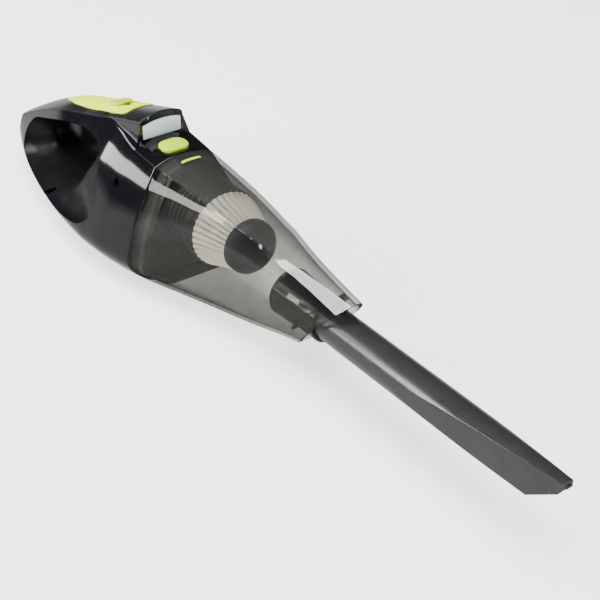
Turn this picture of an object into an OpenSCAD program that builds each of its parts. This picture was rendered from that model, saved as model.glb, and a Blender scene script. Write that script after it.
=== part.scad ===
// Handheld vacuum: teardrop body with a finger-hole handle, lamp, clear dust bin and crevice tool.
// Millimetres. +X runs forward to the nozzle, +Z is up, and the origin is the middle of the base
// plate's lower face, which the vacuum rests on.

/* [Body] */
// Widest half-width of the body, at its belt line
belt_half = 52; // [50:0.5:53]
// Where along X the body is widest
belt_x = 17; // [10:1:25]
// Rear end of the body
tail_x = -154; // [-158:1:-150]
// Joint line between the housing and the dust bin
seam_x = 70; // [69:0.5:71]
// Wall thickness of the housing shells
shell = 2.2; // [1.8:0.1:2.6]
// Height of the belly's flat above the surface that the vacuum rests on
belly_flat = 1.5; // [1.2:0.1:2]

/* [Handle] */
// Half-width of the handle's top
grip_half = 15; // [14:0.5:16]
// Front face of the lamp housing
lamp_x = 45.2; // [44:0.2:46]
// Half-width of the lamp lens
lens_half = 14; // [12:0.5:14.2]
// Lower edge of the lamp lens
lens_z = 90.2; // [90:0.2:91]
// Height of the lens at its sides
lens_h = 9.8; // [8:0.2:10]

/* [Dust bin] */
// Wall thickness of the dust bin
bin_wall = 2; // [1.6:0.1:2.4]
// Length of the collar that the bin slides over
collar_l = 14; // [10:1:16]
// Slide travel that takes the bin off the filter
bin_travel = 95; // [90:1:110]

/* [Motor and filter] */
// Height of the motor and filter axis
motor_z = 55; // [54:0.5:56]
// Outer radius of the fan housing
fan_r = 25; // [24:0.5:25.5]
// Front end of the fan housing
fan_front = 113; // [111:1:115]
// Radius of the motor can
can_r = 18; // [16:0.5:19]
// Radius of the motor shaft
shaft_r = 1.6; // [1.5:0.1:2]
// Number of pleats in the filter
pleats = 36; // [24:1:48]

/* [Nozzle] */
// Height of the nozzle axis
nozzle_z = 44.25; // [43:0.25:46]
// Outer radius of the crevice tool
tool_r = 11.3; // [10.5:0.1:11.5]
// Front end of the crevice tool
tool_tip = 420; // [380:1:440]
// Half-width of the flattened tip
tip_half = 3.6; // [3.2:0.1:5]
// Radial clearance between the tool and the inlet duct
tool_gap = 0.08; // [0.03:0.01:0.1]

/* [Battery] */
// Diameter of one cell
cell_d = 18.3; // [18:0.1:18.6]
// Length of one cell
cell_l = 65; // [64:0.5:66]

/* [Hidden] */
$fn = 48;

gap = 0.15; // fitted gap between fixed pieces
run = 0.05; // running clearance of a shaft in its bush
far = 200; // longer than any piece that it cuts

// Guide lines along X, each a list of [x, value]
edge_half = [[-40, grip_half], [0, grip_half], [24, 18.6], [45, 20.6], [70, 20.2], [98, 18.7],
  [131, 17], [178, 12.8], [225, 10], [251, 8.6]];
edge_height = [[-154, 27.6], [-150, 29.6], [-140, 35.6], [-128, 42.6], [-98, 57], [-66, 70.2],
  [-35, 79.6], [0, 90], [24, 89.4], [45, 85.9], [70, 83.4], [98, 82.3], [131, 79.9],
  [178, 75.2], [225, 71], [251, 68.3]];
lamp_height = [[-20, 84.2], [0, 90.2], [20, 96.2], [46, 103.9]];
crown_rise = [[-154, 0.4], [-140, 1.4], [-120, 2.4], [-95, 3.5], [10, 3.5], [45, 4.6], [70, 4.5], [120, 3],
  [251, 1]];
front_half = [[17, 51], [40, 50], [70, 45.5], [101, 36.2], [132, 27.2], [171, 17.6], [206, 10],
  [251, 4]];
belt_height = [[-154, 27.2], [-140, 24], [-120, 21], [-95, 19.5], [150, 19.5], [206, 23.5],
  [251, 27]];
belly_height = [[-154, 26.5], [-140, 17], [-124, 10.5], [-100, 4.6], [-76, belly_flat],
  [55, belly_flat], [72, 2], [101, 4.6], [139, 10.5], [176, 17.5], [206, 23.2], [251, 26.5]];
side_bulge = [[-154, 0.3], [-120, 1.5], [-40, 3], [45, 3], [70, 3.8], [101, 5.5], [131, 6.5],
  [170, 7], [206, 8], [251, 9.5]];

// Smooth cubic through a guide line's points
function spot(t, x, i = 0) = i >= len(t) - 2 || x <= t[i + 1][0] ? i : spot(t, x, i + 1);
function rise(t, i) = (t[min(i + 1, len(t) - 1)][1] - t[max(i - 1, 0)][1])
  / (t[min(i + 1, len(t) - 1)][0] - t[max(i - 1, 0)][0]);
function guide(t, x) = let (i = spot(t, x), h = t[i + 1][0] - t[i][0], s = (x - t[i][0]) / h)
  (2 * s ^ 3 - 3 * s ^ 2 + 1) * t[i][1] + (s ^ 3 - 2 * s ^ 2 + s) * h * rise(t, i)
  + (3 * s ^ 2 - 2 * s ^ 3) * t[i + 1][1] + (s ^ 3 - s ^ 2) * h * rise(t, i + 1);

// Half-width at the belt line: a rounded teardrop behind belt_x, the front guide ahead of it
function belt(x) = x < belt_x
  ? belt_half * (1 - ((belt_x - x) / (belt_x - tail_x + 1)) ^ 1.6) ^ 0.63
  : guide(front_half, x) + (belt_half - 51) * max(0, 1 - (x - belt_x) / 60);

// Points of a body section at x, inset by d: crowned top, flared side, and a curved underside
under_slope = 0.9;
function section(x, d) = let (
  wb = max(belt(x) - 1.15 * d, 0.2),
  wt = min(x < 0 ? grip_half : guide(edge_half, x), 0.78 * belt(x)) - 0.9 * d,
  zt = guide(edge_height, x) - d,
  zb = min(guide(belly_height, x) + d, guide(belt_height, x) - 0.1),
  zc = guide(belt_height, x),
  crown = guide(crown_rise, x),
  bulge = guide(side_bulge, x),
  turn = max(wb - under_slope * (zc - zb), 0.3 * wb),
  half = concat(
    [for (a = [0:0.25:1]) [wt * a, zt + crown * (1 - a * a)]],
    [for (t = [0.16, 0.33, 0.5, 0.67, 0.83, 0.95])
      [wt + (wb - wt) * t + 4 * bulge * t * (1 - t), zt + (zc - zt) * t]],
    [for (t = [0.03, 0.25, 0.5, 0.75, 1])
      [(1 - t) ^ 2 * wb + 2 * t * (1 - t) * turn + t * t * 0.7 * turn,
      (1 - t) ^ 2 * zc + 2 * t * (1 - t) * zb + t * t * zb]]))
  [for (side = [-1, 1]) for (p = half) [x, side * p[0], p[1]]];

// Points of the lamp housing's upright sides and crowned top at x, inset by d
function lamp_section(x, d) = let (
  w = grip_half + 0.75 * max(0, x + 20) / 65 - d,
  z = guide(lamp_height, x) - d)
  [for (side = [-1, 1]) for (p = concat([[w, 60], [w, z - 1]],
    [for (a = [0:0.24:0.96]) [w * a, z + 3.5 * (1 - a * a)]])) [x, side * p[0], p[1]]];

rear_stations = [-153.6, -152.6, -150.5, -147, -142, -135, -126, -115, -102, -88, -73, -57, -40,
  -22, -5, 12, 28, 40, 52, 61, seam_x];
rear_inner = [-149, -146, -140, -133, -124, -114, -102, -88, -73, -57, -40, -22, -5, 12, 28, 40,
  52, 61, seam_x + 1];
bin_stations = [seam_x, 78, 88, 100, 113, 127, 142, 158, 174, 190, 206, 221, 236, 251];
lamp_stations = [-20, -5, 10, 25, lamp_x];

// Mouth of the bin: a plane that slants from the top lip down and back to the belt
mouth_top = [250.3, 68.3];
mouth_tilt = 43.5;

// Finger hole: circles [x, z, r] of its outline on the body's sides, at its waist and at its throat
rim = [[-97, 36, 16], [-70, 42.5, 23.5], [-30, 48, 28.5], [-2, 51, 27]];
waist = [[-97, 37, 15.5], [-48, 46, 22], [-30, 66, 9], [-2, 71, 6.5]];
throat = [[-88, 38, 12.5], [-62, 42, 16.5], [-43, 44.5, 17.5]];
hole_steps = [54, 40, 22, 8]; // half-widths at which those outlines lie
liner = 2.5;
cover_drop = 1.4; // how far below the handle's edge its cover meets the housing

switch_at = [-2, 0, 93.9]; // middle of the switch knob's seat on the grip
switch_tilt = 17; // slope of the grip there
switch_travel = 5;
latch_at = [50, 0, 78.4]; // pivot of the latch lever
button_x = 58.3;
button_travel = 1.2;
screw_spots = [[40, 63.5, 24], [-50, 18, 32]]; // x, z and depth of each side screw's head
cell_z = 14.2;
cell_x = -28;
cell_pitch = 18.6;
socket_at = [-128, 13, 31];
duct_rear = 186;
duct_front = 226;
duct_bore = tool_r + tool_gap;
cap_x = 141;
can_x = 48; // rear and front ends of the motor can
can_front = 88;
seal_x = 76;

// Convex hull of a list of points
module wrap(points) {
  hull() polyhedron(points, [[for (i = [0:len(points) - 1]) i]]);
}

// Chain of wrapped sections: a smooth closed body
module chain(stations, d = 0) {
  for (i = [0:len(stations) - 2])
    wrap(concat(section(stations[i], d), section(stations[i + 1], d)));
}

module lamp_chain(stations, d = 0) {
  for (i = [0:len(stations) - 2])
    wrap(concat(lamp_section(stations[i], d), lamp_section(stations[i + 1], d)));
}

module body(d = 0) {
  chain(rear_stations, d);
  lamp_chain(lamp_stations, d);
}

module body_core(d = shell) {
  chain(rear_inner, d);
  lamp_chain([-20, -5, 10, 25, lamp_x - shell], d);
}

// Outline of a finger hole ring, grown by g, drawn in X and Z
module hole_outline(circles, g) {
  hull() for (c = circles) translate([c[0], c[1]]) circle(c[2] + g, $fn = 40);
}

module slab_xz(y, t = 0.02) {
  translate([0, y + t / 2, 0]) rotate([90, 0, 0]) linear_extrude(t) children();
}

// The finger hole: flared from a narrow throat out to each side, grown by g
module finger_hole(g = 0) {
  outlines = [rim, rim, waist, throat];
  for (side = [-1, 1]) for (i = [0:2])
    hull() {
      slab_xz(side * hole_steps[i]) hole_outline(outlines[i], g);
      slab_xz(side * hole_steps[i + 1]) hole_outline(outlines[i + 1], g);
    }
  hull() for (side = [-1, 1]) slab_xz(side * hole_steps[3]) hole_outline(throat, g);
}

// Space above a guide line lowered by drop, from x0 to x1, as wide as the body
module above(line, drop, x0, x1, step = 5) {
  n = ceil((x1 - x0) / step);
  translate([0, far / 2, 0]) rotate([90, 0, 0]) linear_extrude(far)
    polygon(concat([for (i = [0:n]) let (x = x0 + (x1 - x0) * i / n) [x, guide(line, x) - drop]],
      [[x1, far], [x0, far]]));
}

// Height line of the handle's top edge: the body's edge behind, the lamp housing's edge in front
grip_line = concat([for (p = edge_height) if (p[0] < -20) p],
  [for (p = lamp_height) if (p[0] > -10) p]);

module grip_outline(g = 0) {
  offset(delta = g) hull() {
    translate([-75.5, 0]) circle(4.5, $fn = 32);
    translate([-55, 0]) circle(9.4, $fn = 32);
    for (side = [-1, 1]) translate([-20, side * 8]) circle(4, $fn = 24);
    for (side = [-1, 1]) translate([14, side * 7.4]) circle(4, $fn = 24);
  }
}

// Prism of the grip pad's outline, cut down to the layer above the body inset by d
module grip_zone(g, d) {
  difference() {
    translate([0, 0, 40]) linear_extrude(70) grip_outline(g);
    body(d);
  }
}

module on_grip() {
  translate(switch_at) rotate([0, -switch_tilt, 0]) children();
}

module switch_slot() {
  on_grip() translate([-3.5, -2, -10]) cube([switch_travel + 7, 4, 14]);
}

module lens_outline(g = 0) {
  polygon(concat([[lens_half + g, lens_z - g], [-lens_half - g, lens_z - g]],
    [for (a = [-1:0.2:1]) [a * (lens_half + g), lens_z + lens_h + g + 2 * (1 - a * a)]]));
}

// Extrudes an outline drawn in Y and Z from x0 to x1
module along_x(x0, x1) {
  translate([x0, 0, 0]) rotate([90, 0, 90]) linear_extrude(x1 - x0) children();
}

// Cylinder along X
module rod(x0, x1, z, r, fn = 64) {
  translate([x0, 0, z]) rotate([0, 90, 0]) cylinder(h = x1 - x0, r = r, $fn = fn);
}

// Cylinder along Y
module peg(x, z, y0, y1, r, fn = 32) {
  translate([x, y0, z]) rotate([-90, 0, 0]) cylinder(h = y1 - y0, r = r, $fn = fn);
}

// Solid of revolution about a line along X at height z: the profile is drawn as [radius, x]
module turned(z, profile) {
  translate([0, 0, z]) rotate([0, 90, 0]) rotate_extrude($fn = 96) polygon(profile);
}

module screw_bosses() {
  for (s = screw_spots) peg(s[0], s[1], -50, 50, 4.2);
}

module screw_holes() {
  for (s = screw_spots) {
    peg(s[0], s[1], -60, -s[2] + 2.2, 2.9);
    peg(s[0], s[1], -s[2], 13, 1.7);
  }
}

module vent_slots() {
  for (side = [-1, 1]) for (i = [0:8])
    translate([8 + 5.4 * i, side * 31 - 5, -1]) cube([2.2, 10, 12]);
}

// One half of the housing; side is -1 for the right half and 1 for the left
module housing_half(side) {
  difference() {
    intersection() {
      union() {
        difference() {
          body();
          body_core();
        }
        intersection() {
          body();
          union() {
            finger_hole(liner);
            screw_bosses();
          }
        }
      }
      translate([-far, side > 0 ? gap / 3 : -far - gap / 3, -1]) cube([2 * far, far, far]);
    }
    finger_hole();
    screw_holes();
    vent_slots();
    above(grip_line, cover_drop, -138, lamp_x + 1);
    above(edge_height, 0.8, lamp_x + 0.05, seam_x + 2);
    along_x(lamp_x - 8, lamp_x + 5) lens_outline(gap);
    peg(socket_at[0], socket_at[2], -1, 60, 4.35);
    translate([0, 0, belly_flat - far]) cube([2 * far, far, 2 * far], center = true);
  }
}

module housing_right() {
  color("#17181b") housing_half(-1);
}

module housing_left() {
  color("#17181b") housing_half(1);
}

module handle_cover() {
  color("#222327") difference() {
    intersection() {
      difference() {
        body();
        body_core(2.6);
      }
      above(grip_line, cover_drop - gap, -138 + gap, lamp_x + 1);
    }
    grip_zone(gap, 1.1);
    switch_slot();
    along_x(lamp_x - 8, lamp_x + 5) lens_outline(gap);
  }
}

module grip_pad() {
  color("#e4fc41") difference() {
    intersection() {
      body(-0.6);
      grip_zone(0, 1);
    }
    switch_slot();
  }
}

module lamp_lens() {
  color("#c3d0df") along_x(lamp_x - 2.2, lamp_x - 0.2) lens_outline();
}

module lamp_reflector() {
  color("#d8dadd") difference() {
    translate([36.2, -13.2, lens_z + 0.6]) cube([6.6, 26.4, 8.8]);
    translate([37.2, -12.2, lens_z + 1.6]) cube([8, 24.4, 6.8]);
    for (y = [-8, 0, 8]) translate([0, y, 0]) rod(35, 38, lens_z + 5, 1.8);
  }
}

module led_board() {
  color("#2f6b45") translate([34.8, -12, lens_z + 1]) cube([1.2, 24, 8]);
}

module led_chips() {
  color("#f2efcf") for (y = [-8, 0, 8]) translate([0, y, 0]) rod(36, 38, lens_z + 5, 1.6);
}

module button_outline(g = 0) {
  offset(r = 6.5 + g, $fn = 48) square([15.5 - 13, 18.5 - 13], center = true);
}

module deck_cover() {
  color("#1d1e22") difference() {
    union() {
      intersection() {
        difference() {
          chain([40, 50, 60, seam_x]);
          chain([40, 50, 60, seam_x + 1], shell);
        }
        above(edge_height, 0.8 - gap, lamp_x + gap, seam_x - 0.1);
      }
      for (y = [-8, 6]) translate([latch_at[0] - 2.5, y, 76.4]) cube([5, 2, 11.2]);
    }
    translate([button_x, 0, 60]) linear_extrude(60) button_outline(0.35);
    for (side = [-1, 1]) translate([button_x - 4.4, side * 9.9 - 1.7, 83]) cube([8.8, 3.4, 2.7]);
    peg(latch_at[0], latch_at[2], -20, 20, 1.55);
  }
}

module latch_pin() {
  color("silver") peg(latch_at[0], latch_at[2], -8, 8, 1.5);
}

// Round wire swept along a helix: turns coils of radius r, over height h, with steps to a turn
module coil(r, wire, h, turns, steps = 16, sides = 6) {
  n = turns * steps;
  points = [for (i = [0:n]) for (k = [0:sides - 1])
    let (a = 360 * i / steps, b = 360 * k / sides, q = r + wire * cos(b))
    [q * cos(a), q * sin(a), h * i / n + wire * sin(b)]];
  walls = [for (i = [0:n - 1]) for (k = [0:sides - 1]) let (j = (k + 1) % sides)
    for (f = [[i * sides + k, i * sides + j, (i + 1) * sides + j],
      [i * sides + k, (i + 1) * sides + j, (i + 1) * sides + k]]) f];
  ends = [[for (k = [sides - 1:-1:0]) k], [for (k = [0:sides - 1]) n * sides + k]];
  polyhedron(points, concat(walls, ends));
}

// Compression spring between the lever's rear arm and the deck
module latch_spring() {
  color("silver") translate([46, 0, latch_at[2] + 1.4]) coil(1.1, 0.3, 7.8, 4);
}

// Plate that closes the housing's front, with the collar that the bin slides over
module front_bulkhead() {
  color("#1b1c20") difference() {
    union() {
      chain([65.8, 68, seam_x - 0.1], shell + 0.3);
      difference() {
        chain([seam_x - 0.2, 77, seam_x + collar_l], bin_wall + 0.35);
        chain([seam_x - 0.1, 77, seam_x + collar_l + 1], bin_wall + 2);
      }
    }
    rod(60, 72, motor_z, 22);
    translate([60, -6.8, 79.8]) cube([40, 13.6, 20]);
    collar_ring(seal_x, seal_x + 4, 0, bin_wall + 1.35);
  }
}

// Ring that follows the body's section from x0 to x1, between the insets outer and inner
module collar_ring(x0, x1, outer, inner) {
  difference() {
    chain([x0, x1], outer);
    chain([x0 - 1, x1 + 1], inner);
  }
}

module bin_seal() {
  color("#3a3b3e") difference() {
    collar_ring(seal_x + 0.1, seal_x + 3.9, bin_wall + 0.3, bin_wall + 1.25);
    translate([60, -7.4, 79]) cube([40, 14.8, 20]);
  }
}

// Tube round the motor and fan, with the spigot that the filter fits on
module fan_housing() {
  color("#141517") turned(motor_z, [[fan_r - 2, seam_x], [fan_r, seam_x], [fan_r, fan_front],
    [19, fan_front], [19, fan_front + 3.6], [17.5, fan_front + 3.6], [17.5, fan_front - 2],
    [fan_r - 2, fan_front - 2]]);
}

module motor_mount() {
  color("#35363a") difference() {
    union() {
      difference() {
        rod(64, 69.5, motor_z, can_r + 1);
        rod(60, 75, motor_z, can_r);
      }
      for (i = [0:3]) translate([64, 0, motor_z]) rotate([45 + 90 * i, 0, 0])
        translate([0, -3, can_r + 0.6]) cube([5.5, 6, 3.2]);
    }
    difference() {
      rod(60, 75, motor_z, 30);
      rod(59, 76, motor_z, 21.95);
    }
  }
}

module motor_can() {
  color("#b9bcc0") turned(motor_z, [[can_r - 1.2, can_x], [can_r, can_x], [can_r, can_front],
    [4, can_front], [4, can_front - 1.4], [can_r - 1.2, can_front - 1.4]]);
}

module motor_end_cap() {
  color("#2b2c30") turned(motor_z, [[4, can_x - 2.6], [can_r, can_x - 2.6], [can_r, can_x - 0.1],
    [can_r - 1.3, can_x - 0.1], [can_r - 1.3, can_x + 1.5], [can_r - 2.6, can_x + 1.5],
    [can_r - 2.6, can_x - 1], [4, can_x - 1]]);
}

module motor_magnets() {
  color("#4a4b50") difference() {
    rod(can_x + 6, can_x + 33, motor_z, can_r - 1.25);
    rod(can_x + 5, can_x + 34, motor_z, 13);
    translate([can_x, -5, 0]) cube([40, 10, far]);
  }
}

module motor_bushes() {
  color("#b08a52") difference() {
    union() {
      rod(can_x - 3, can_x, motor_z, 3.95);
      rod(can_front - 3, can_front + 1, motor_z, 3.95);
    }
    rod(30, 90, motor_z, shaft_r + run);
  }
}

module motor_brushes() {
  color("#3c3c3e") for (side = [-1, 1])
    translate([can_x + 2.5, side * 10.4 - 5, motor_z - 1.8]) cube([2.5, 10, 3.6]);
}

module battery_cells() {
  color("#3d7fb8") for (i = [-1:1]) translate([0, i * cell_pitch, 0])
    rod(cell_x, cell_x + cell_l, cell_z, cell_d / 2);
}

module battery_tray() {
  color("#26272b") difference() {
    translate([cell_x - 2, -20, 3.9]) cube([cell_l + 4, 40, 11]);
    translate([cell_x - 0.5, -30, 4.9]) cube([cell_l + 1, 60, 12]);
  }
}

module cell_straps() {
  color("silver") for (x = [cell_x - 0.4, cell_x + cell_l + 0.1])
    translate([x, -18, cell_z + 1.5]) cube([0.3, 36, 5]);
}

module control_board() {
  color("#2f6b45") translate([40, -15, 28]) cube([22, 30, 1.6]);
}

module charging_socket() {
  color("#0f1012") difference() {
    peg(socket_at[0], socket_at[2], socket_at[1] - 12.6, socket_at[1], 4.2, 64);
    peg(socket_at[0], socket_at[2], socket_at[1] - 11, socket_at[1] + 1, 1.8, 64);
  }
}

module switch_body() {
  color("#2d2e33") on_grip() translate([-6, -3.5, -12]) cube([18, 7, 5.2]);
}

module base_plate() {
  color("#202125") difference() {
    translate([0, 0, 0]) linear_extrude(belly_flat - 0.1) offset(r = 8, $fn = 48)
      square([132 - 16, 44 - 16], center = true);
    for (x = [-52, 52]) for (y = [-14, 14]) translate([x, y, 0]) {
      translate([0, 0, -1]) cylinder(h = 4, r = 1.4);
      translate([0, 0, -0.01]) cylinder(h = 0.6, r = 2.7);
    }
  }
}

module housing_screws() {
  color("#8d9094") for (s = screw_spots) difference() {
    union() {
      peg(s[0], s[1], -s[2], -s[2] + 2, 2.6);
      peg(s[0], s[1], -s[2], 10, 1.5);
    }
    translate([s[0], -s[2], s[1]]) for (a = [0, 90]) rotate([0, a, 0])
      cube([3.2, 1.6, 0.7], center = true);
  }
}

module base_screws() {
  color("#8d9094") for (x = [-52, 52]) for (y = [-14, 14]) translate([x, y, 0]) difference() {
    union() {
      translate([0, 0, 0.05]) cylinder(h = 0.5, r = 2.6);
      translate([0, 0, 0.05]) cylinder(h = 1.3, r = 1.3);
    }
    cube([3.2, 0.7, 0.6], center = true);
  }
}

module motor_shaft() {
  color("silver") rod(can_x - 4, 107, motor_z, shaft_r);
}

module rotor_core() {
  color("#8f9297") difference() {
    rod(can_x + 8, can_x + 31, motor_z, 12.4);
    rod(can_x + 7, can_x + 32, motor_z, shaft_r);
    for (i = [0:4]) translate([can_x + 7, 0, motor_z]) rotate([72 * i, 0, 0])
      translate([0, -1.5, 5]) cube([26, 3, 8]);
  }
}

module rotor_windings() {
  color("#b4632c") for (x = [can_x + 6.1, can_x + 31.1]) difference() {
    rod(x, x + 1.8, motor_z, 10.6);
    rod(x - 1, x + 3, motor_z, 4);
  }
}

module commutator() {
  color("#b4632c") difference() {
    rod(can_x + 1.6, can_x + 6, motor_z, 5);
    rod(can_x + 1, can_x + 7, motor_z, shaft_r);
  }
}

module impeller() {
  color("#d9dbde") difference() {
    union() {
      rod(91, 92.5, motor_z, 21);
      rod(91, 106, motor_z, 5);
      for (i = [0:8]) translate([92, 0, motor_z]) rotate([40 * i, 0, 0])
        translate([0, 2, 4]) rotate([-18, 0, 0]) cube([10, 1.3, 16.4]);
    }
    rod(90, 108, motor_z, shaft_r);
  }
}

module switch_knob() {
  color("#d9f23a") on_grip() {
    difference() {
      translate([-5, 0, 0.3]) linear_extrude(1.5) offset(r = 3, $fn = 40)
        square([14 - 6, 12 - 6], center = true);
      for (i = [-2:2]) translate([-5 + 2 * i, -4, 1.4]) cube([0.8, 8, 1]);
    }
    translate([-3, -1.5, -6.4]) cube([4, 3, 7]);
  }
}

module release_button() {
  color("#d6f62e") {
    difference() {
      translate([button_x, 0, 85.2]) linear_extrude(4.8) button_outline();
      translate([button_x - 6, -7.4, 85]) cube([12, 14.8, 3.6]);
    }
    translate([button_x - 1, -7.6, 87]) cube([2, 15.2, 2]);
    translate([button_x, 0, latch_at[2] + 1.05]) cylinder(h = 9, r = 1);
    for (side = [-1, 1]) translate([button_x - 4, side * 9.8 - 1.2, 84.1]) cube([8, 2.4, 1.2]);
  }
}

module latch_lever() {
  color("#2a2b2f") difference() {
    union() {
      translate([44.6, -5, latch_at[2] - 1]) cube([21, 10, 2]);
      peg(latch_at[0], latch_at[2], -5, 5, 2.6, 48);
      translate([64, -5, latch_at[2] + 0.9]) cube([1.6, 10, 0.9]);
    }
    peg(latch_at[0], latch_at[2], -6, 6, 1.5 + run, 48);
  }
}

// Everything behind the mouth plane moved back by t
module behind_mouth(t = 0) {
  translate([mouth_top[0] - t, 0, mouth_top[1]]) rotate([0, mouth_tilt, 0])
    translate([-2 * far, -far, -far]) cube([2 * far, 2 * far, 2 * far]);
}

module dust_bin() {
  color("#8a8c88", 0.5) difference() {
    union() {
      intersection() {
        difference() {
          chain(bin_stations);
          chain([seam_x - 1, 78, 88, 100, 113, 127, 142, 158, 174, 190, 206, 221, 236, 252],
            bin_wall);
        }
        behind_mouth();
      }
      intersection() {
        chain(bin_stations, bin_wall / 2);
        behind_mouth(11);
        difference() {
          translate([-far, -far, -far]) cube([4 * far, 2 * far, 2 * far]);
          behind_mouth(13.5);
        }
      }
      translate([61.5, -6, 80.9]) cube([13, 12, 2]);
      translate([61.5, -6, 80.5]) cube([2, 12, 1]);
      translate([seam_x + 0.5, -6, 81]) cube([3.5, 12, 5.4]);
    }
    turned(nozzle_z, [[0, 190], [15.5, 190], [15.2, duct_rear + 14], [13.7, duct_rear + 24],
      [13.7, 260], [0, 260]]);
    mark_layer(0.12, 0.8);
  }
}

// Thin bar let into the bin's top: its plan grown by g, above the bin's surface inset by d
module mark_layer(g, d) {
  difference() {
    translate([78 - g, -7 - g, 80]) cube([2.2 + 2 * g, 14 + 2 * g, 10]);
    chain([70, 78, 88], d);
  }
}

module bin_mark() {
  color("#e4fc41") intersection() {
    mark_layer(0, 0.7);
    chain([70, 78, 88]);
  }
}

module inlet_duct() {
  color("#101113") turned(nozzle_z, [[duct_bore, duct_rear], [15.4, duct_rear],
    [15.1, duct_rear + 14], [13.6, duct_rear + 24], [13.6, duct_front], [duct_bore, duct_front]]);
}

// Plan outline of the crevice tool: full width, then two flats that close in to the tip
module tool_plan(inset) {
  w = tool_r - inset;
  polygon([[180, -w - 1], [296, -w], [tool_tip + inset, -tip_half + inset],
    [tool_tip + inset, tip_half - inset], [296, w], [180, w + 1]]);
}

module crevice_tool() {
  color("#33343a") difference() {
    intersection() {
      rod(190, tool_tip, nozzle_z, tool_r);
      linear_extrude(100) tool_plan(0);
    }
    intersection() {
      rod(180, tool_tip + 1, nozzle_z, tool_r - 1.5);
      linear_extrude(100) tool_plan(1.5);
    }
    translate([tool_tip, 30, nozzle_z]) rotate([90, 0, 0]) linear_extrude(60)
      polygon([[0, 6.7], [-2.6, 3.2], [-23.2, -10.2], [-24.6, -12], [10, -12], [10, 6.7]]);
  }
}

module filter_base() {
  color("#1a1b1e") turned(motor_z, [[19.15, fan_front + 0.4], [25.1, fan_front + 0.4],
    [25.1, fan_front + 4.2], [17.6, fan_front + 4.2], [17.6, fan_front + 3.8],
    [19.15, fan_front + 3.8]]);
}

// Cone of pleated paper between the base and the cap
module filter_pleats() {
  z0 = fan_front + 4.3;
  r0 = 24.9;
  r1 = 17.4;
  color("#e2e1d2") translate([z0, 0, motor_z]) rotate([0, 90, 0]) difference() {
    linear_extrude(cap_x - z0, scale = r1 / r0)
      polygon([for (i = [0:2 * pleats - 1]) let (r = r0 - 2.4 * (i % 2), a = 180 * i / pleats)
        [r * cos(a), r * sin(a)]]);
    translate([0, 0, -0.1]) cylinder(h = cap_x - z0 + 0.2, r1 = 20.5, r2 = 14);
  }
}

module filter_cap() {
  color("#26292e") turned(motor_z, [[0, cap_x + 0.1], [17.5, cap_x + 0.1], [17.5, cap_x + 6],
    for (a = [0:15:90]) [11.5 + 6 * cos(a), cap_x + 6 + 6 * sin(a)], [0, cap_x + 12]]);
}

housing_right();
housing_left();
handle_cover();
grip_pad();
lamp_lens();
lamp_reflector();
led_board();
led_chips();
deck_cover();
latch_pin();
latch_spring();
front_bulkhead();
bin_seal();
fan_housing();
motor_mount();
motor_can();
motor_end_cap();
motor_magnets();
motor_bushes();
motor_brushes();
battery_cells();
battery_tray();
cell_straps();
control_board();
charging_socket();
switch_body();
base_plate();
housing_screws();
base_screws();
motor_shaft();
rotor_core();
rotor_windings();
commutator();
impeller();
switch_knob();
release_button();
latch_lever();
dust_bin();
bin_mark();
inlet_duct();
crevice_tool();
filter_base();
filter_pleats();
filter_cap();
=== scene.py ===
"""Looks of the handheld vacuum: smooth moulded shells, clear bin, filter, tool and their materials."""
import math

import bmesh
import bpy
import numpy as np
from mathutils import Matrix, Vector
from mathutils.bvhtree import BVHTree
from mathutils.interpolate import poly_3d_calc


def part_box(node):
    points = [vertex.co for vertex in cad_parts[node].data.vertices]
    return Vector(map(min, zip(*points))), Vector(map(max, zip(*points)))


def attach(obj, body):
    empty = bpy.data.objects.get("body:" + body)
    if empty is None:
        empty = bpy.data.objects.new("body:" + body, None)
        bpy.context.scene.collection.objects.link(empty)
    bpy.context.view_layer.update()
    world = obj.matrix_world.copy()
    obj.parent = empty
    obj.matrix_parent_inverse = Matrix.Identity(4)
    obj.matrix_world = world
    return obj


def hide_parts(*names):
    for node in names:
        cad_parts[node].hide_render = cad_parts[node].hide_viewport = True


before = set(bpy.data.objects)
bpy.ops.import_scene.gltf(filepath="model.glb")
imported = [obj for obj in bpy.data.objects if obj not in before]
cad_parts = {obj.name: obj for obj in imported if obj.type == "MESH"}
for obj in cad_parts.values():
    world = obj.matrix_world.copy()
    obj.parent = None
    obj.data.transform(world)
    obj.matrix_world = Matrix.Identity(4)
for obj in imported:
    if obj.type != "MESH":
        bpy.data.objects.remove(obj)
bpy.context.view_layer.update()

MM = 0.001

# Driving dimensions in millimetres, the same as the CAD model's
BELT_HALF = 52.0
BELT_X = 17.0
TAIL_X = -154.0
SEAM_X = 70.0
SHELL = 2.2
BELLY_FLAT = 1.5
GRIP_HALF = 15.0
LAMP_X = 45.2
LENS_HALF = 14.0
LENS_Z = 90.2
LENS_H = 9.8
LENS_ARCH = 2.0
BIN_WALL = 2.0
MOTOR_Z = 55.0
NOZZLE_Z = 44.25
TOOL_R = 11.3
TOOL_WALL = 1.5
TOOL_FLAT_X = 296.0
TIP_HALF = 3.6
TIP_CUT = ((0, 6.7), (-2.6, 3.2), (-23.2, -10.2), (-24.6, -12), (10, -12), (10, 6.7))  # from the tip
COVER_DROP = 1.4
DECK_DROP = 0.8
PARTING = 0.15  # gap shown at each parting line
UNDER_SLOPE = 0.9
BUTTON_X = 58.3
BUTTON_SIZE = (15.5, 18.5)
BUTTON_CORNER = 6.5
SWITCH_AT = (-2.0, 93.9)
SWITCH_TILT = 17.0
MARK_X = 78.0
MARK_SIZE = (2.2, 14.0)
MOUTH_TOP = (250.3, 68.3)
MOUTH_TILT = 43.5
SCREWS = ((40.0, 63.5, 24.0), (-50.0, 18.0, 32.0))
SOCKET = (-128.0, 31.0)
PLEATS = 36
PLEAT_DEPTH = 2.7
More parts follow.
